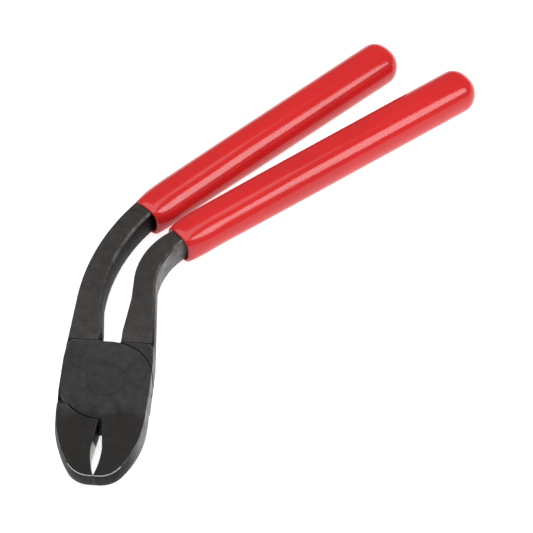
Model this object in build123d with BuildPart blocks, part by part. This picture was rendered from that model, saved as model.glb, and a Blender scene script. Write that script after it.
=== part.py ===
from build123d import *
from math import asin, cos, degrees, radians, sin
import os

# Lap-joint pliers with bent handles, short meeting jaws and dipped grips, in millimetres.
# The tool lies flat: Z is the pivot axis, the jaws point to -Y and the handles bend over to +X.
# The origin is where the pivot axis leaves the underside of the head.

# Head and lap joint
thickness = 11.0  # over the two ground faces of the head
head_width = 30.0
head_top = 15.4  # from the pivot axis to the shoulder where the handles leave the head
head_draft = 6.0  # degrees, on the forged side walls
corner_width = 2.6  # the corners of the shoulder are cut off, this far across
corner_height = 2.6  # and this far down
head_waist = 0.4  # the head narrows by this on each side towards the shoulder
lap_radius = 14.85  # the round end of each half lap
lap_gap = 0.25  # between a round end and the shoulder that surrounds it
face_gap = 0.06  # between the two lap faces
side_relief = 2.7  # the levers' sides keep this far from the pivot's level, so they can turn
plate_corner = -5.4  # height at which the side of a plate meets its round end
horn_height = -10.35  # height of the flat end of a jaw's shoulder

# Jaws
jaw_length = 35.3  # from the pivot axis to the tips
tip_thickness = 5.4
slope_start = -10.5  # height at which the jaw faces begin to slope
jaw_half_width = 14.8  # where the long side curve starts
jaw_curve_start = -11.4
jaw_curve_radius = 36.0
jaw_curve_turn = 34.0  # degrees turned by the side curve before the nose
side_flat_start = -18.5  # height where the flat ground on the upper lever's jaw begins
side_flat_lean = 15.2  # degrees, how far the flat leans in towards the tip
root_gap = 0.55  # half the gap between the jaws, at the lap circle
belly_gap = 1.75  # half the gap at its widest
belly_height = -25.2
throat_gap = 1.3  # half the gap midway from its widest place to the tips
throat_height = -30.0
tip_gap = 0.02  # half the gap between the closed tips
tip_land = 0.6  # length over which the closed tips keep this gap

# Rivet
rivet_radius = 4.5
rivet_head_radius = 6.2
rivet_head_depth = 1.8
rivet_clearance = 0.05  # in the lever that turns on it

# Handles
arm_recess = 0.4  # the forged handle faces lie this far under the ground head faces
arm_draft = 6.0  # degrees
arm_foot = 10.0  # height inside the head from which the handle outlines are drawn
arm_inset = 0.2  # a handle's outer edge starts this far inside the head's side
tang_width = 7.0  # at the end, inside the grip
tang_stop = 9.0  # from the end of the tang to the end of the grip

# Outer handle: headings are degrees from +Y towards +X
outer_heading = 44.65
outer_edge_end = Vector(-13.65, 33)  # the convex edge is straight up to here
outer_edge_heading = 3.6
outer_bend_radius = 76.0
outer_bend_turn = 33.0
outer_settle_radius = 55.0  # the last part of the bend, into the grip
outer_root = 3.0  # from the pivot axis to the inner edge, inside the head
outer_root_end = Vector(-3.15, 20.2)
outer_hollow_start = Vector(-4.3, 31)
outer_hollow_heading = -1.0
outer_hollow_radius = 61.7
outer_hollow_turn = 41.0

# Inner handle
inner_heading = 50.1
inner_edge_end = Vector(13.3, 27.5)
inner_flank_end = Vector(12.3, 39.8)  # the concave edge starts here
inner_hollow_radius = 25.6
inner_root = 2.6
inner_root_end = Vector(2.65, 20)
inner_rise_end = Vector(4.0, 33)
inner_straight_end = Vector(3.95, 42)
inner_bend_heading = 1.5
inner_bend_radius = 26.4

# Grips
outer_mouth = Vector(5.1, 70.3)  # centre of the mouth
inner_mouth = Vector(17.1, 59.8)
outer_grip_length = 111.2
inner_grip_length = 122.8
outer_lean = 0.9  # the mouth lies this far off the straight part's axis
inner_lean = 0.8
mouth_width = 11.4
mouth_thickness = 12.2
mouth_rounding = 4.2
mouth_blend = 8.0  # length over which the mouth opens out to the neck
neck_thickness = 13.0  # the coating is thinner here and thickens down the handle
grip_width = 14.5
grip_thickness = 13.8
fullest_at = 50.0  # distance from the mouth where the coating reaches its thickness
grip_flat = 0.1  # half of what is left flat between two roundings, on the narrower sides
grip_swell = 0.6  # the section grows by this towards the far end
end_rounding = 5.8

middle = thickness / 2
half_width = head_width / 2
grip_rounding = min(grip_width, neck_thickness) / 2 - grip_flat
lap_room_radius = lap_radius + lap_gap
lap_face = middle + face_gap / 2  # underside of the upper half lap
turned_over = Plane(origin=(0, 0, thickness), x_dir=(-1, 0, 0), z_dir=(0, 0, -1))


def direction(heading):
    """Unit vector in the XY plane, heading degrees clockwise from +Y."""
    return Vector(sin(radians(heading)), cos(radians(heading)))


def sideways(heading):
    """Unit vector to the right of a heading."""
    return direction(heading + 90)


def head_blank():
    """Both levers' heads and jaws as one forging: drafted sides and sloping jaw faces."""
    with BuildPart() as blank:
        with BuildSketch(Plane.XY.offset(middle)):
            with BuildLine():
                Line((0, -jaw_length), (0, head_top))
                top = Line((0, head_top), (corner_width - half_width, head_top))
                corner = Line(top @ 1, (head_waist - half_width, head_top - corner_height))
                waist = Line(corner @ 1, (-half_width, head_top / 2))
                side = Line(waist @ 1, (-half_width, plate_corner))
                taper = Line(side @ 1, (-jaw_half_width, jaw_curve_start))
                curve = JernArc(taper @ 1, (0, -1), jaw_curve_radius, jaw_curve_turn)
                nose_radius = (jaw_length + (curve @ 1).Y) / (1 - sin(radians(jaw_curve_turn)))
                nose = JernArc(curve @ 1, curve % 1, nose_radius, 90 - jaw_curve_turn)
                Line(nose @ 1, (0, -jaw_length))
            make_face()
            mirror(about=Plane.YZ)
        extrude(amount=middle, taper=head_draft)
        fall = (thickness - tip_thickness) / 2
        run = jaw_length + slope_start
        slope = Plane((0, slope_start, thickness), x_dir=(1, 0, 0), z_dir=(0, -fall, run))
        split(bisect_by=slope, keep=Keep.BOTTOM)
        mirror(about=Plane.XY.offset(middle))
    return blank.part


def jaw_plan(shoulder):
    """The plan of the right-hand jaw from a shoulder height down, open to the outside."""
    beyond = -jaw_length - 1
    with BuildSketch() as plan:
        with BuildLine():
            Line((root_gap, shoulder), (root_gap, -lap_radius))
            Line((root_gap, -lap_radius), (belly_gap, belly_height))
            throat = (throat_gap, throat_height)
            ThreePointArc((belly_gap, belly_height), throat, (tip_gap, tip_land - jaw_length))
            Line((tip_gap, tip_land - jaw_length), (tip_gap, beyond))
            Line((tip_gap, beyond), (head_width, beyond))
            Line((head_width, beyond), (head_width, shoulder))
            Line((head_width, shoulder), (root_gap, shoulder))
        make_face()
    return plan.sketch


def head(side_flat):
    """The upper lever's half lap, shoulder and jaw, with or without the flat on its side."""
    with BuildPart() as whole:
        with BuildSketch(Plane.XY.offset(lap_face)):
            Circle(lap_radius)
            with Locations((-half_width / 2, (head_top + plate_corner) / 2)):
                Rectangle(half_width, head_top - plate_corner)
            add(jaw_plan(-side_relief))
        extrude(amount=middle)
        with BuildSketch(Plane.XY):
            with Locations((-half_width / 2, (head_top + side_relief) / 2)):
                Rectangle(half_width, head_top - side_relief)
            add(jaw_plan(horn_height))
            Circle(lap_room_radius, mode=Mode.SUBTRACT)
        extrude(amount=lap_face)
        add(head_blank(), mode=Mode.INTERSECT)
        if side_flat:
            outwards = direction(90 + side_flat_lean)
            flat = Plane((jaw_half_width, side_flat_start, 0), z_dir=outwards)
            split(bisect_by=flat, keep=Keep.BOTTOM)
    return whole.part


def lap_room():
    """What the other lever's half of the lap turns in."""
    with BuildPart() as room:
        with BuildSketch():
            Circle(lap_room_radius)
        extrude(amount=lap_face)
    return room.part


def rivet_shape(clearance):
    """A plain shank with a flush countersunk head at each end."""
    shank = rivet_radius + clearance
    rim = rivet_head_radius + clearance
    with BuildPart() as shape:
        with BuildSketch(Plane.XZ):
            with BuildLine():
                Polyline(
                    (0, 0),
                    (rim, 0),
                    (shank, rivet_head_depth),
                    (shank, thickness - rivet_head_depth),
                    (rim, thickness),
                    (0, thickness),
                    close=True,
                )
            make_face()
        revolve(axis=Axis.Z)
    return shape.part


def tang_end(mouth, heading, length, lean):
    """Where the steel stops inside a grip."""
    return mouth - sideways(heading) * lean + direction(heading) * (length - tang_stop)


with BuildPart() as upper_lever:
    end = tang_end(outer_mouth, outer_heading, outer_grip_length, outer_lean)
    across = sideways(outer_heading) * (tang_width / 2)
    settle_turn = outer_heading - outer_edge_heading - outer_bend_turn
    with BuildSketch(Plane.XY.offset(middle)):
        with BuildLine():
            edge = Line((arm_inset - half_width, arm_foot), outer_edge_end)
            bend_start = direction(outer_edge_heading)
            bend = JernArc(edge @ 1, bend_start, outer_bend_radius, -outer_bend_turn)
            settle = JernArc(bend @ 1, bend % 1, outer_settle_radius, -settle_turn)
            Line(settle @ 1, end - across)
            Line(end - across, end + across)
            root = Line((-outer_root, arm_foot), outer_root_end)
            rise = Line(root @ 1, outer_hollow_start)
            hollow_start = direction(outer_hollow_heading)
            hollow = JernArc(rise @ 1, hollow_start, outer_hollow_radius, -outer_hollow_turn)
            Line(hollow @ 1, end + across)
            Line(root @ 0, edge @ 0)
        make_face()
    extrude(amount=middle - arm_recess, taper=arm_draft)
    mirror(about=Plane.XY.offset(middle))
    add(lap_room(), mode=Mode.SUBTRACT)
    add(head(True))
    add(rivet_shape(0), mode=Mode.SUBTRACT)
upper_lever.part.label = "upper_lever"

with BuildPart() as lower_lever:
    end = tang_end(inner_mouth, inner_heading, inner_grip_length, inner_lean)
    across = sideways(inner_heading) * (tang_width / 2)
    with BuildSketch(Plane.XY.offset(middle)):
        with BuildLine():
            edge = Line((half_width - arm_inset, arm_foot), inner_edge_end)
            flank = Line(edge @ 1, inner_flank_end)
            hollow = JernArc(flank @ 1, (0, 1), inner_hollow_radius, -inner_heading)
            Line(hollow @ 1, end + across)
            Line(end + across, end - across)
            root = Line((inner_root, arm_foot), inner_root_end)
            rise = Line(root @ 1, inner_rise_end)
            straight = Line(rise @ 1, inner_straight_end)
            bend_start = direction(inner_bend_heading)
            bend_turn = inner_heading - inner_bend_heading
            bend = JernArc(straight @ 1, bend_start, inner_bend_radius, -bend_turn)
            Line(bend @ 1, end - across)
            Line(root @ 0, edge @ 0)
        make_face()
    extrude(amount=middle - arm_recess, taper=arm_draft)
    mirror(about=Plane.XY.offset(middle))
    add(turned_over.location * lap_room(), mode=Mode.SUBTRACT)
    add(turned_over.location * head(False))
    add(rivet_shape(rivet_clearance), mode=Mode.SUBTRACT)
lower_lever.part.label = "lower_lever"

with BuildPart() as pivot_rivet:
    add(rivet_shape(0))
pivot_rivet.part.label = "pivot_rivet"


def grip(mouth, heading, length, lean):
    """A dipped grip: a narrow mouth, a neck, a long body that thickens and a rounded end."""
    bend = degrees(asin(lean / mouth_blend))
    straight_start = 2 * mouth_blend
    axis_start = mouth - sideways(heading) * lean

    def section(along, off_axis, turned, width, depth, rounding):
        place = axis_start + direction(heading) * along + sideways(heading) * off_axis
        facing = direction(heading - turned)
        plane = Plane(place + Vector(0, 0, middle), x_dir=sideways(heading - turned), z_dir=facing)
        with BuildSketch(plane) as oval:
            RectangleRounded(width, depth, rounding)
        return oval.sketch

    swell = grip_swell * fullest_at / length
    neck = section(straight_start, 0, 0, grip_width, neck_thickness, grip_rounding)
    full = section(
        fullest_at, 0, 0, grip_width + swell, grip_thickness + swell, grip_rounding
    )
    with BuildPart() as body:
        loft(
            [
                section(0, lean, bend, mouth_width, mouth_thickness, mouth_rounding),
                section(mouth_blend, lean / 4, bend / 2, grip_width, neck_thickness, grip_rounding),
                neck,
            ]
        )
        loft([neck, full])
        far_width = grip_width + grip_swell
        far_thickness = grip_thickness + grip_swell
        loft([full, section(length, 0, 0, far_width, far_thickness, grip_rounding)])
        far_end = body.faces().sort_by(Axis((0, 0, 0), direction(heading)))[-1]
        fillet(far_end.edges(), end_rounding)
    return body.part


with BuildPart() as outer_grip:
    add(grip(outer_mouth, outer_heading, outer_grip_length, outer_lean))
    add(upper_lever.part, mode=Mode.SUBTRACT)
outer_grip.part.label = "outer_grip"

with BuildPart() as inner_grip:
    add(grip(inner_mouth, inner_heading, inner_grip_length, inner_lean))
    add(lower_lever.part, mode=Mode.SUBTRACT)
inner_grip.part.label = "inner_grip"

os.makedirs("parts", exist_ok=True)
export_step(outer_grip.part, "parts/outer_grip.step")
export_step(inner_grip.part, "parts/inner_grip.step")
export_step(upper_lever.part, "parts/upper_lever.step")
export_step(lower_lever.part, "parts/lower_lever.step")
export_step(pivot_rivet.part, "parts/pivot_rivet.step")
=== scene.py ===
from math import cos, degrees, pi, radians, sin

import bmesh
import bpy
from mathutils import Matrix, Vector


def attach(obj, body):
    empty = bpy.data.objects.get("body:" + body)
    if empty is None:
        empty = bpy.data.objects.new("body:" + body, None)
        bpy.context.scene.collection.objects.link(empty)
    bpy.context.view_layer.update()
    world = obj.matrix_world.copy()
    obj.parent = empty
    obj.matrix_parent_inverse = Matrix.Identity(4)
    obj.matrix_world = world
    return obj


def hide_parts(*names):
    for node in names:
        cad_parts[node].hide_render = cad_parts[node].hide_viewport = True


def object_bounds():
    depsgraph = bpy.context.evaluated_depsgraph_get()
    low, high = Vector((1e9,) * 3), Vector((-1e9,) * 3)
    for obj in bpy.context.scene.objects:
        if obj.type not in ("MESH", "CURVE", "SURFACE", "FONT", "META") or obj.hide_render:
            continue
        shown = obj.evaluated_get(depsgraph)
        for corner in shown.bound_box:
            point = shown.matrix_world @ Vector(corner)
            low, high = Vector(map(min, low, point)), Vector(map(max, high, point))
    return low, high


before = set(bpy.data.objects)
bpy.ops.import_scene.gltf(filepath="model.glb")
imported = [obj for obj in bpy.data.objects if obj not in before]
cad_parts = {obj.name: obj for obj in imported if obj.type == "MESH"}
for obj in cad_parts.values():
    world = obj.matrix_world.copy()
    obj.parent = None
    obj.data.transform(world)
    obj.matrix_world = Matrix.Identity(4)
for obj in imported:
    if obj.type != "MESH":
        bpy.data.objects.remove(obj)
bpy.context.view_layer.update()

# Sizes are in millimetres and become metres when a piece is put in the scene.
MM = 0.001
UP = Vector((0, 0, 1))
SAME_PLACE = 0.0005  # points nearer than this are one point
MERGED = 0.045  # the same, for a solid's own mesh, whose short facets are joined

# Head, measured from the pivot axis and the underside of the head
HEAD_TOP = 15.4
MIDDLE = 5.5  # half the head's thickness
LAP_RADIUS = 14.85
TIP_Y = -35.3
RIVET_RADIUS = 6.2
BARE_EDGE_Y = -19.5  # from here to the tips the meeting faces are ground bare
NECK_START_Y = 40.0  # the steel is rubbed brighter from here to the grips
NECK_LENGTH = 20.0
RIM_Y = -31.2  # beyond this the edge of the jaw is ground bare
JAW_TONE_AND_SHADE_START_Y = -9.5  # the face goes over to the jaws' darker tone between these: partly the jaws' own brown-black finish, partly painted shade of their sloping faces
JAW_TONE_AND_SHADE_END_Y = -13.5
JAW_INSIDE = 2.6  # what faces the other jaw lies nearer the middle than this
LEAN = 0.35  # how far the start of the bare edge slopes across the thickness
ARM_OVERLAP = 0.2  # how far the arm runs into the head

# Places of a lever's materials in its list
ARM_FACE, HEAD_FACE, JAW_BARE, WALL = range(4)

# Grips
OUTER_MOUTH = Vector((5.1, 70.3, MIDDLE))
OUTER_HEADING = 44.65
OUTER_LENGTH = 111.2
OUTER_LEAN = 0.9
INNER_MOUTH = Vector((17.1, 59.8, MIDDLE))
INNER_HEADING = 50.1
INNER_LENGTH = 122.8
INNER_LEAN = 0.8


# ---------------------------------------------------------------- shader node groups

def new_group(name, inputs, outputs):
    """An empty node group that takes and gives plain values."""
    group = bpy.data.node_groups.new(name, "ShaderNodeTree")
    for label, value in inputs:
        socket = group.interface.new_socket(label, in_out="INPUT", socket_type="NodeSocketFloat")
        socket.default_value = value
    for label in outputs:
        group.interface.new_socket(label, in_out="OUTPUT", socket_type="NodeSocketFloat")
    return group, group.nodes.new("NodeGroupInput"), group.nodes.new("NodeGroupOutput")


def noise(tree, vector, scale, detail, roughness=0.6):
    node = tree.nodes.new("ShaderNodeTexNoise")
    node.inputs["Detail"].default_value = detail
    node.inputs["Roughness"].default_value = roughness
    if isinstance(scale, (int, float)):
        node.inputs["Scale"].default_value = scale
    else:
        tree.links.new(scale, node.inputs["Scale"])
    tree.links.new(vector, node.inputs["Vector"])
    return node.outputs["Fac"]


def ranged(tree, value, low, high, to_low=0.0, to_high=1.0):
    node = tree.nodes.new("ShaderNodeMapRange")
    node.inputs["From Min"].default_value = low
    node.inputs["From Max"].default_value = high
    node.inputs["To Min"].default_value = to_low
    node.inputs["To Max"].default_value = to_high
    tree.links.new(value, node.inputs["Value"])
    return node.outputs["Result"]


def maths(tree, operation, a, b):
    node = tree.nodes.new("ShaderNodeMath")
    node.operation = operation
    for socket, value in zip(node.inputs, (a, b)):
        if isinstance(value, (int, float)):
            socket.default_value = value
        else:
            tree.links.new(value, socket)
    return node.outputs["Value"]


def mixed(tree, factor, a, b):
    node = tree.nodes.new("ShaderNodeMix")
    node.data_type = "RGBA"
    for socket, value in ((node.inputs[0], factor), (node.inputs[6], a), (node.inputs[7], b)):
        if isinstance(value, (int, float)):
            socket.default_value = value
        elif isinstance(value, tuple):
            socket.default_value = (*value, 1)
        else:
            tree.links.new(value, socket)
    return node.outputs[2]


def object_place(tree):
    return tree.nodes.new("ShaderNodeTexCoord").outputs["Object"]


def mesh_mark(tree, name):
    """What the mesh itself says, under a name, about each of its faces or points."""
    node = tree.nodes.new("ShaderNodeAttribute")
    node.attribute_type = "GEOMETRY"
    node.attribute_name = name
    return node.outputs["Fac"]


def blast_grain_group():
    """The fine pitted grain of blasted and blackened steel: light specks, dark pits, a height."""
    group, start, end = new_group(
        "Blasted grain",
        [("Grain size", 1900.0), ("Speck amount", 0.5)],
        ["Tone", "Height"],
    )
    place = object_place(group)
    fine = noise(group, place, start.outputs["Grain size"], 2, 0.6)
    broad = noise(group, place, 420, 3, 0.55)
    cloud = noise(group, place, 60, 2, 0.5)
    specks = ranged(group, fine, 0.55, 0.75)
    specks = maths(group, "MULTIPLY", specks, start.outputs["Speck amount"])
    tone = maths(group, "ADD", ranged(group, broad, 0.3, 0.7, -0.16, 0.16), specks)
    tone = maths(group, "ADD", tone, ranged(group, cloud, 0.3, 0.7, -0.08, 0.08))
    height = maths(group, "ADD", fine, maths(group, "MULTIPLY", broad, 0.6))
    group.links.new(tone, end.inputs["Tone"])
    group.links.new(height, end.inputs["Height"])
    return group


def worn_edge_group():
    """Where handling and grinding have rubbed the finish off the edges: a mask."""
    group, start, end = new_group("Rubbed edges", [("Amount", 0.5)], ["Mask"])
    patches = noise(group, object_place(group), 240, 4, 0.6)
    broken = ranged(group, patches, 0.34, 0.62)
    mask = maths(group, "MULTIPLY", mesh_mark(group, "rubbed"), broken)
    mask = maths(group, "MULTIPLY", mask, start.outputs["Amount"])
    group.links.new(mask, end.inputs["Mask"])
    return group


def use_group(tree, group, **values):
    node = tree.nodes.new("ShaderNodeGroup")
    node.node_tree = group
    for label, value in values.items():
        node.inputs[label.replace("_", " ")].default_value = value
    return node


def new_material(name):
    material = bpy.data.materials.new(name)
    material.use_nodes = True
    tree = material.node_tree
    tree.nodes.clear()
    shader = tree.nodes.new("ShaderNodeBsdfPrincipled")
    output = tree.nodes.new("ShaderNodeOutputMaterial")
    tree.links.new(shader.outputs["BSDF"], output.inputs["Surface"])
    return material, tree, shader


def bump(tree, shader, height, distance, strength=1.0):
    node = tree.nodes.new("ShaderNodeBump")
    node.inputs["Strength"].default_value = strength
    node.inputs["Distance"].default_value = distance
    tree.links.new(height, node.inputs["Height"])
    tree.links.new(node.outputs["Normal"], shader.inputs["Normal"])


GRAIN = blast_grain_group()
RUBBED = worn_edge_group()


def blackened_steel(name, dark, light, rubbed_colour, roughness, speck, wear, jaw_tones_and_shade=None):
    """Black-oxide steel, between a dark and a light tone, with rubbed edges.

    Given jaw tones, the colour goes over to a second, darker pair of tones on the jaws: partly
    their own brown-black finish, partly painted shade of the sloping jaw faces."""
    material, tree, shader = new_material(name)
    grain = use_group(tree, GRAIN, Speck_amount=speck)
    tone = ranged(tree, grain.outputs["Tone"], -0.3, 0.7)
    colour = mixed(tree, tone, dark, light)
    if jaw_tones_and_shade:
        apart = tree.nodes.new("ShaderNodeSeparateXYZ")
        place = object_place(tree)
        tree.links.new(place, apart.inputs["Vector"])
        wander = ranged(tree, noise(tree, place, 130, 3, 0.6), 0.3, 0.7, -0.002, 0.002)
        level = maths(tree, "ADD", apart.outputs["Y"], wander)
        # the jaws' darker tone: their own finish, darkened further as painted shade
        on_jaw = ranged(tree, level, JAW_TONE_AND_SHADE_START_Y * MM, JAW_TONE_AND_SHADE_END_Y * MM)
        colour = mixed(tree, on_jaw, colour, mixed(tree, tone, *jaw_tones_and_shade))
    edges = use_group(tree, RUBBED, Amount=wear)
    colour = mixed(tree, edges.outputs["Mask"], colour, rubbed_colour)
    tree.links.new(colour, shader.inputs["Base Color"])
    tree.links.new(
        ranged(tree, grain.outputs["Tone"], -0.3, 0.5, roughness + 0.08, roughness - 0.08),
        shader.inputs["Roughness"],
    )
    tree.links.new(
        ranged(tree, edges.outputs["Mask"], 0.0, 1.0, 0.0, 0.8), shader.inputs["Metallic"]
    )
    shader.inputs["Specular IOR Level"].default_value = 0.16
    bump(tree, shader, grain.outputs["Height"], 0.00005, 0.5)
    return material


def rough_side(name, black, bare_and_lit, roughness):
    """A forged side wall: black scale, darkened further as painted shade, rubbed to mottled grey
    where the piece marks it, which is partly real wear and partly painted light.
    """
    material, tree, shader = new_material(name)
    grain = use_group(tree, GRAIN, Speck_amount=0.3)
    tone = ranged(tree, grain.outputs["Tone"], -0.3, 0.6)
    patches = noise(tree, object_place(tree), 210, 4, 0.6)
    patchy = ranged(tree, patches, 0.3, 0.65, 0.35, 1.0)
    # the marked walls: partly rubbed wear, partly painted light on walls that face outward
    worn_and_lit = maths(tree, "MULTIPLY", mesh_mark(tree, "bare_and_lit"), patchy)
    edges = use_group(tree, RUBBED, Amount=0.5)
    worn_and_lit = maths(tree, "MAXIMUM", worn_and_lit, edges.outputs["Mask"])
    darker = tuple(0.5 * c for c in black)
    colour = mixed(tree, worn_and_lit, mixed(tree, tone, darker, black), bare_and_lit)
    tree.links.new(colour, shader.inputs["Base Color"])
    tree.links.new(ranged(tree, worn_and_lit, 0.0, 1.0, 0.0, 0.6), shader.inputs["Metallic"])
    tree.links.new(
        ranged(tree, tone, 0.0, 1.0, roughness + 0.06, roughness - 0.06),
        shader.inputs["Roughness"],
    )
    shader.inputs["Specular IOR Level"].default_value = 0.09
    bump(tree, shader, grain.outputs["Height"], 0.00006, 0.6)
    return material


def ground_steel(name, colour, roughness, along):
    """Bare steel ground with a wheel: fine scratches along one direction."""
    material, tree, shader = new_material(name)
    mapping = tree.nodes.new("ShaderNodeMapping")
    mapping.inputs["Scale"].default_value = along
    tree.links.new(object_place(tree), mapping.inputs["Vector"])
    lines = noise(tree, mapping.outputs["Vector"], 900, 3, 0.6)
    tone = ranged(tree, lines, 0.3, 0.7)
    darker = tuple(0.7 * c for c in colour)
    tree.links.new(mixed(tree, tone, darker, colour), shader.inputs["Base Color"])
    tree.links.new(
        ranged(tree, lines, 0.3, 0.7, roughness + 0.08, roughness - 0.06),
        shader.inputs["Roughness"],
    )
    shader.inputs["Metallic"].default_value = 0.85
    bump(tree, shader, lines, 0.00002, 0.4)
    return material


def dipped_vinyl(name, colour):
    """Glossy dipped vinyl with the faint ripple that the dip leaves."""
    material, tree, shader = new_material(name)
    ripple = noise(tree, object_place(tree), 45, 2, 0.4)
    tone = ranged(tree, ripple, 0.35, 0.65)
    deeper = tuple(0.93 * c for c in colour)
    tree.links.new(mixed(tree, tone, deeper, colour), shader.inputs["Base Color"])
    shader.inputs["Roughness"].default_value = 0.14
    shader.inputs["Specular IOR Level"].default_value = 0.36
    bump(tree, shader, ripple, 0.0004, 0.12)
    return material


FORGED = blackened_steel(
    "Forged black steel",
    (0.016, 0.0142, 0.0132), (0.058, 0.052, 0.048), (0.30, 0.29, 0.28), 0.44, 0.5, 0.5,
)
FACED = blackened_steel(
    "Ground and blackened face",
    (0.013, 0.013, 0.013), (0.052, 0.052, 0.052), (0.35, 0.34, 0.33), 0.42, 0.25, 0.6,
    # jaw tones: the jaws' own brown-black, darkened further as painted shade
    jaw_tones_and_shade=((0.003, 0.0023, 0.0020), (0.015, 0.0112, 0.0095)),
)
RIVET_BLACK = blackened_steel(
    "Blackened rivet",
    (0.013, 0.0127, 0.0125), (0.050, 0.049, 0.048), (0.25, 0.24, 0.23), 0.42, 0.25, 0.3,
)
# Side walls: real forging scale, made darker than the faces as painted shade, with painted light
# on the marked walls
SIDE_WITH_PAINTED_SHADE_AND_LIGHT = rough_side("Forged side", (0.006, 0.0056, 0.0054), (0.30, 0.30, 0.30), 0.48)
JAW_GROUND = ground_steel("Ground jaw edge", (0.46, 0.45, 0.44), 0.32, (1, 1, 12))
RED_VINYL = dipped_vinyl("Red dipped vinyl", (0.55, 0.017, 0.018))


# ---------------------------------------------------------------- geometry helpers

SHARP = 20.0  # an edge that turns by more degrees than this gets softened


def direction(heading):
    return Vector((sin(radians(heading)), cos(radians(heading)), 0))


def sideways(heading):
    return direction(heading + 90)


def piece_from(bm, name, materials, body, replaces):
    """Puts a finished bmesh, drawn in millimetres, in the scene as one piece."""
    bmesh.ops.scale(bm, vec=(MM, MM, MM), verts=bm.verts)
    mesh = bpy.data.meshes.new(name)
    bm.to_mesh(mesh)
    bm.free()
    piece = bpy.data.objects.new(name, mesh)
    bpy.context.scene.collection.objects.link(piece)
    for material in materials:
        mesh.materials.append(material)
    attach(piece, body)
    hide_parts(*replaces)
    return piece


def copied_node(node):
    """A merged copy of a CAD node's mesh, in millimetres, with its flat faces whole."""
    bm = bmesh.new()
    bm.from_mesh(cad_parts[node].data)
    bmesh.ops.scale(bm, vec=(1000, 1000, 1000), verts=bm.verts)
    bmesh.ops.remove_doubles(bm, verts=bm.verts, dist=MERGED)
    bmesh.ops.dissolve_limit(
        bm, angle_limit=radians(0.4), verts=bm.verts, edges=bm.edges, delimit={"NORMAL"}
    )
    return bm


def cut(bm, point, normal):
    """Cuts off what lies beyond a plane and closes the cut."""
    geometry = bm.verts[:] + bm.edges[:] + bm.faces[:]
    bmesh.ops.bisect_plane(
        bm, geom=geometry, dist=SAME_PLACE, plane_co=point, plane_no=normal, clear_outer=True
    )
    rim = [e for e in bm.edges if len(e.link_faces) == 1]
    bmesh.ops.holes_fill(bm, edges=rim, sides=0)
    bmesh.ops.recalc_face_normals(bm, faces=bm.faces)


def soften(bm, edges, width, segments, rubbed, material=-1):
    """Rounds edges and marks how far the rounding is rubbed bare."""
    layer = bm.faces.layers.float.get("rubbed") or bm.faces.layers.float.new("rubbed")
    result = bmesh.ops.bevel(
        bm,
        geom=edges,
        offset=width,
        offset_type="OFFSET",
        segments=segments,
        profile=0.5,
        affect="EDGES",
        clamp_overlap=False,
        material=material,
    )
    for face in result["faces"]:
        face[layer] = rubbed
        face.smooth = True


def sharp_edges(bm):
    found = []
    for edge in bm.edges:
        if len(edge.link_faces) == 2 and degrees(edge.calc_face_angle(0)) > SHARP:
            found.append(edge)
    return found


# ---------------------------------------------------------------- levers

def top_edges(bm, test=lambda normal: True):
    """Edges between a level or sloping face and a side wall whose normal passes a test."""
    found = []
    for edge in sharp_edges(bm):
        level = [f for f in edge.link_faces if abs(f.normal.z) > 0.9]
        walls = [f for f in edge.link_faces if abs(f.normal.z) < 0.5]
        if level and walls and test(walls[0].normal):
            found.append(edge)
    return found


def forged_arm(node):
    """The handle's steel: broad soft edges inside the bend, narrower ones outside."""
    arm = copied_node(node)
    cut(arm, (0, HEAD_TOP - ARM_OVERLAP, 0), (0, -1, 0))
    for face in arm.faces:
        face.material_index = WALL if abs(face.normal.z) < 0.5 else ARM_FACE
    soften(arm, top_edges(arm, lambda n: n.x <= 0.3 and n.y > -0.99), 0.4, 3, 0.6, ARM_FACE)
    soften(arm, top_edges(arm, lambda n: n.x > 0.3 and n.y > -0.99), 0.8, 4, 0.8, ARM_FACE)
    rubbed = arm.faces.layers.float["rubbed"]
    for face in arm.faces:
        if face[rubbed]:
            near_grip = (face.calc_center_median().y - NECK_START_Y) / NECK_LENGTH
            face[rubbed] = 0.25 + 0.6 * min(1.0, max(0.0, near_grip))
    return arm


def ground_head(node):
    """The head and jaw, with faced sides, bare jaw edges and a bare rim at the tip."""
    head = copied_node(node)
    cut(head, (0, HEAD_TOP, 0), (0, 1, 0))
    jaw_faces = [f for f in head.faces if f.calc_center_median().y < -LAP_RADIUS]
    around = set(e for f in jaw_faces for e in f.edges)
    around |= set(v for f in jaw_faces for v in f.verts)
    bmesh.ops.bisect_plane(
        head, geom=jaw_faces + list(around), dist=SAME_PLACE,
        plane_co=(0, BARE_EDGE_Y, 0), plane_no=(0, 1, LEAN),
    )
    for face in head.faces:
        middle = face.calc_center_median()
        inside = abs(middle.x) < JAW_INSIDE and abs(face.normal.x) > 0.7 and middle.y < 0
        if inside and middle.y + LEAN * (middle.z - MIDDLE) < BARE_EDGE_Y:
            face.material_index = JAW_BARE
        elif abs(face.normal.z) > 0.9:
            face.material_index = HEAD_FACE
        else:
            face.material_index = WALL
    edges = []
    for edge in sharp_edges(head):
        middle = (edge.verts[0].co + edge.verts[1].co) / 2
        at_nose = middle.y < TIP_Y + 0.8 and abs(middle.x) < 0.3
        across_cut = middle.y > HEAD_TOP - 0.01 and abs(middle.z - MIDDLE) < MIDDLE - 0.1
        if not at_nose and not across_cut:
            edges.append(edge)
    soften(head, edges, 0.17, 2, 0.7)
    rubbed = head.faces.layers.float["rubbed"]
    for face in head.faces:
        if face[rubbed] == 0:
            continue
        middle = face.calc_center_median()
        reach = middle.xy.length
        if reach < RIVET_RADIUS + 0.3 or abs(reach - LAP_RADIUS) < 0.5:
            face[rubbed] = 0.12
            face.material_index = WALL
        elif middle.y < RIM_Y and face.normal.y < -0.2 and abs(middle.z - MIDDLE) > 2:
            face[rubbed] = 1.0
            face.material_index = JAW_BARE
        elif middle.y < -LAP_RADIUS and abs(middle.x) < JAW_INSIDE:
            face[rubbed] = 0.35
    return head


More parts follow.
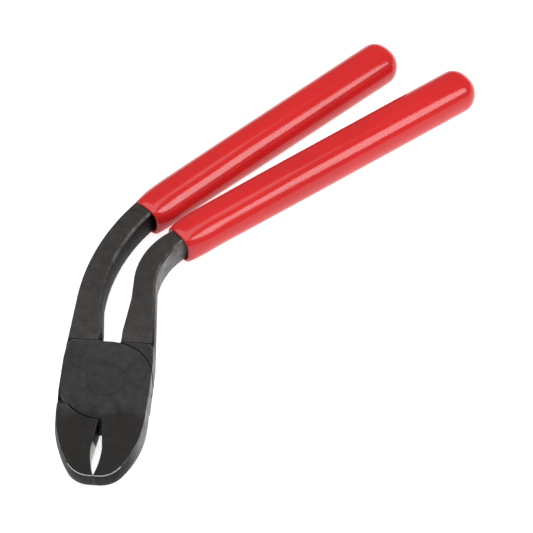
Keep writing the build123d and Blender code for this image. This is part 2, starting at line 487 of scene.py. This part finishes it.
def mark_bare_and_lit_sides(bm, outer_side):
    """Marks how grey each side wall is: partly real wear, most on the side that gets handled and
    ground, and partly painted light, set by which way the wall faces.
    """
    bare_and_lit = bm.verts.layers.float.new("bare_and_lit")
    for vert in bm.verts:
        walls = [face.normal for face in vert.link_faces if abs(face.normal.z) < 0.5]
        if not walls:
            continue
        facing = sum(normal.x for normal in walls) / len(walls)
        x, y = vert.co.x, vert.co.y
        if y > HEAD_TOP - 0.1:
            # painted light on handle walls facing outward, with real wear growing towards the
            # grips
            handled = max(0.0, facing * outer_side)
            vert[bare_and_lit] = handled * (0.45 + 0.4 * min(1.0, max(0.0, (y - 35) / 20)))
        # painted reflection on right-facing head and jaw walls, fading out towards the tips
        elif facing > 0.2 and x > 6:
            vert[bare_and_lit] = facing * min(1.0, max(0.0, (y + 29) / 11)) * 0.75
        else:
            vert[bare_and_lit] = 0.06


def hold_in_box(bm, node):
    """Keeps softened edges inside the box of the node's own solid."""
    solid = copied_node(node)
    for axis in range(3):
        low = min(vert.co[axis] for vert in solid.verts)
        high = max(vert.co[axis] for vert in solid.verts)
        for vert in bm.verts:
            vert.co[axis] = min(high, max(low, vert.co[axis]))
    bmesh.ops.remove_doubles(bm, verts=bm.verts, dist=SAME_PLACE)
    solid.free()


def lever(node, name, body, outer_side):
    """One lever: the forged arm and the ground head, each with its own softened edges."""
    arm = forged_arm(node)
    head = ground_head(node)
    mesh = bpy.data.meshes.new("arm")
    arm.to_mesh(mesh)
    arm.free()
    head.from_mesh(mesh)
    bpy.data.meshes.remove(mesh)
    hold_in_box(head, node)
    mark_bare_and_lit_sides(head, outer_side)
    for face in head.faces:
        face.smooth = True
    materials = [FORGED, FACED, JAW_GROUND, SIDE_WITH_PAINTED_SHADE_AND_LIGHT]
    piece = piece_from(head, name, materials, body, (node,))
    piece.modifiers.new("Flat faces", "WEIGHTED_NORMAL").weight = 90


lever("upper_lever", "forged_upper_lever", "upper", -1)
lever("lower_lever", "forged_lower_lever", "lower", 1)


# ---------------------------------------------------------------- rivet

def rivet():
    bm = copied_node("pivot_rivet")
    soften(bm, top_edges(bm), 0.14, 2, 0.1)
    for face in bm.faces:
        face.smooth = True
    piece = piece_from(bm, "flush_rivet", [RIVET_BLACK], "upper", ("pivot_rivet",))
    piece.modifiers.new("Flat faces", "WEIGHTED_NORMAL")


rivet()


# ---------------------------------------------------------------- grips

GRIP_WIDTH = 14.5
GRIP_THICKNESS = 13.8
GRIP_SWELL = 0.6
MOUTH_WIDTH = 11.4
MOUTH_THICKNESS = 12.2
NECK_THICKNESS = 13.0
FULLEST_AT = 50.0  # distance from the mouth where the coating reaches its thickness
MOUTH_BLEND = 8.0
DOME = 6.2
LIP_RADIUS = 0.6  # of the roll round the mouth
LIP_WALL = 1.2
LIP_END = 0.9  # where the roll gives way to the neck
POCKET_DEPTH = 7.0  # how deep the mouth is open round the steel
MOUTH_SQUARENESS = 3.0  # 2 is an oval, more is squarer
BODY_SQUARENESS = 2.25
NECK_RINGS = 12
BODY_RINGS = 16
RING_POINTS = 64


def place_ring(ring, centre, heading, section):
    """Moves a ring of points onto a section across the grip."""
    half_width, half_depth, squareness = section
    side = sideways(heading)
    for index, vert in enumerate(ring):
        turn = 2 * pi * index / len(ring)
        c, s = cos(turn), sin(turn)
        power = 2 / squareness
        across = half_width * abs(c) ** power * (1 if c >= 0 else -1)
        high = half_depth * abs(s) ** power * (1 if s >= 0 else -1)
        vert.co = centre + side * across + UP * high


def grow(bm, ring):
    """Extrudes a ring of points to a new ring and returns it in the same order."""
    edges = []
    for index, vert in enumerate(ring):
        edges.append(bm.edges.get((vert, ring[(index + 1) % len(ring)])))
    result = bmesh.ops.extrude_edge_only(bm, edges=edges)
    made = set(g for g in result["geom"] if isinstance(g, bmesh.types.BMVert))
    following = []
    for vert in ring:
        for edge in vert.link_edges:
            other = edge.other_vert(vert)
            if other in made:
                following.append(other)
    return following


def grip(name, node, body, mouth, heading, length, lean):
    """A dipped grip: rolled lip round the steel, a body that thickens and a domed far end."""
    bm = bmesh.new()
    axis_start = mouth - sideways(heading) * lean
    bend = degrees(lean / MOUTH_BLEND)
    wide = GRIP_WIDTH / 2
    neck_deep = NECK_THICKNESS / 2
    deep = GRIP_THICKNESS / 2
    mouth_wide = MOUTH_WIDTH / 2
    mouth_deep = MOUTH_THICKNESS / 2
    straight_start = 2 * MOUTH_BLEND
    # inside of the mouth, from its bottom out to the rim
    stations = [
        (POCKET_DEPTH, mouth_wide - 1.6, mouth_deep - 1.35, MOUTH_SQUARENESS),
        (LIP_END, mouth_wide - 1.5, mouth_deep - 1.25, MOUTH_SQUARENESS),
    ]
    for turn in range(0, 180, 30):
        back = LIP_RADIUS * (1 - sin(radians(turn)))
        inset = LIP_WALL - LIP_RADIUS * (1 - cos(radians(turn)))
        stations.append((back, mouth_wide - inset, mouth_deep - inset, MOUTH_SQUARENESS))
    # outside: the neck opens out to the full width
    for step in range(1, NECK_RINGS + 1):
        along = LIP_END + (straight_start - LIP_END) * step / NECK_RINGS
        part = min(1.0, along / (MOUTH_BLEND * 1.15))
        ease = sin(part * pi / 2)
        half_w = mouth_wide + (wide - mouth_wide) * ease
        half_d = mouth_deep + (neck_deep - mouth_deep) * ease
        square = MOUTH_SQUARENESS - (MOUTH_SQUARENESS - BODY_SQUARENESS) * ease
        stations.append((along, half_w, half_d, square))
    # the body, which thickens down the handle
    straight = length - DOME - straight_start
    for step in range(1, BODY_RINGS + 1):
        along = straight_start + straight * step / BODY_RINGS
        grown = GRIP_SWELL / 2 * along / length
        filled = min(1.0, (along - straight_start) / (FULLEST_AT - straight_start))
        filled = filled * filled * (3 - 2 * filled)
        thick = neck_deep + (deep - neck_deep) * filled
        stations.append((along, wide + grown, thick + grown, BODY_SQUARENESS))
    # the domed end
    for turn in range(10, 90, 10):
        along = length - DOME + DOME * sin(radians(turn))
        grown = GRIP_SWELL / 2 - DOME * (1 - cos(radians(turn)))
        stations.append((along, wide + grown, deep + grown, BODY_SQUARENESS))
    stations.append((length, 0.9, 0.7, 2.1))

    ring = list(bmesh.ops.create_circle(bm, segments=RING_POINTS, radius=1)["verts"])
    for index, (along, half_w, half_d, square) in enumerate(stations):
        if index:
            ring = grow(bm, ring)
        blend = max(0.0, 1 - along / straight_start)
        shift = lean * blend * blend
        centre = axis_start + direction(heading) * along + sideways(heading) * shift
        place_ring(ring, centre, heading - bend * blend, (half_w, half_d, square))
    bmesh.ops.contextual_create(bm, geom=ring)
    first = [edge for edge in bm.edges if len(edge.link_faces) == 1]
    bmesh.ops.edgeloop_fill(bm, edges=first)
    bmesh.ops.recalc_face_normals(bm, faces=bm.faces)
    for face in bm.faces:
        face.smooth = True
    piece_from(bm, name, [RED_VINYL], body, (node,))


grip(
    "dipped_outer_grip", "outer_grip", "upper",
    OUTER_MOUTH, OUTER_HEADING, OUTER_LENGTH, OUTER_LEAN,
)
grip(
    "dipped_inner_grip", "inner_grip", "lower",
    INNER_MOUTH, INNER_HEADING, INNER_LENGTH, INNER_LEAN,
)


# ---------------------------------------------------------------- studio

def studio():
    world = bpy.data.worlds.new("Studio air")
    bpy.context.scene.world = world
    world.use_nodes = True
    world.node_tree.nodes["Background"].inputs["Color"].default_value = (1, 1, 1, 1)
    world.node_tree.nodes["Background"].inputs["Strength"].default_value = 0.3

    bm = bmesh.new()
    bmesh.ops.create_grid(bm, x_segments=1, y_segments=1, size=3.0)
    mesh = bpy.data.meshes.new("studio_floor")
    bm.to_mesh(mesh)
    bm.free()
    floor = bpy.data.objects.new("studio_floor", mesh)
    bpy.context.scene.collection.objects.link(floor)
    low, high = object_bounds()
    mesh.transform(Matrix.Translation((0, 0, low.z)))
    material, tree, shader = new_material("White table")
    shader.inputs["Base Color"].default_value = (0.60, 0.60, 0.60, 1)
    shader.inputs["Roughness"].default_value = 0.9
    shader.inputs["Specular IOR Level"].default_value = 0.0
    shader.inputs["Emission Color"].default_value = (1, 1, 1, 1)
    shader.inputs["Emission Strength"].default_value = 0.82
    mesh.materials.append(material)


def softbox(name, place, aim, width, depth, power):
    data = bpy.data.lights.new(name, "AREA")
    data.shape = "RECTANGLE"
    data.size = width
    data.size_y = depth
    data.energy = power
    lamp = bpy.data.objects.new(name, data)
    bpy.context.scene.collection.objects.link(lamp)
    lamp.location = place
    lamp.rotation_euler = (aim - place).to_track_quat("-Z", "Y").to_euler()


TOOL_CENTRE = Vector((0.05, 0.06, 0.0))
STRIP_PLACE = TOOL_CENTRE + Vector((0.687, -0.12, 0.716))
KEY_PLACE = TOOL_CENTRE + Vector((-0.3, -0.05, 1.1))

studio()
softbox("Strip softbox", STRIP_PLACE, TOOL_CENTRE, 0.36, 0.6, 5.0)
softbox("Key softbox", KEY_PLACE, TOOL_CENTRE, 1.3, 1.3, 13.0)

CAMERA_AIM = Vector((46.63, 57.6, 0.0)) * MM
CAMERA_AZIMUTH = 4.7
CAMERA_ELEVATION = 52.4
CAMERA_DISTANCE = 0.9


def camera():
    data = bpy.data.cameras.new("Camera")
    data.lens = 182.4
    data.sensor_width = 36.0
    data.clip_start = 0.05
    data.clip_end = 20.0
    item = bpy.data.objects.new("Camera", data)
    bpy.context.scene.collection.objects.link(item)
    azimuth = radians(CAMERA_AZIMUTH)
    elevation = radians(CAMERA_ELEVATION)
    back = Vector((
        sin(azimuth) * cos(elevation), -cos(azimuth) * cos(elevation), sin(elevation)
    ))
    item.location = CAMERA_AIM + back * CAMERA_DISTANCE
    item.rotation_euler = (-back).to_track_quat("-Z", "Y").to_euler()
    bpy.context.scene.camera = item


camera()
bpy.context.scene.view_settings.view_transform = "Standard"
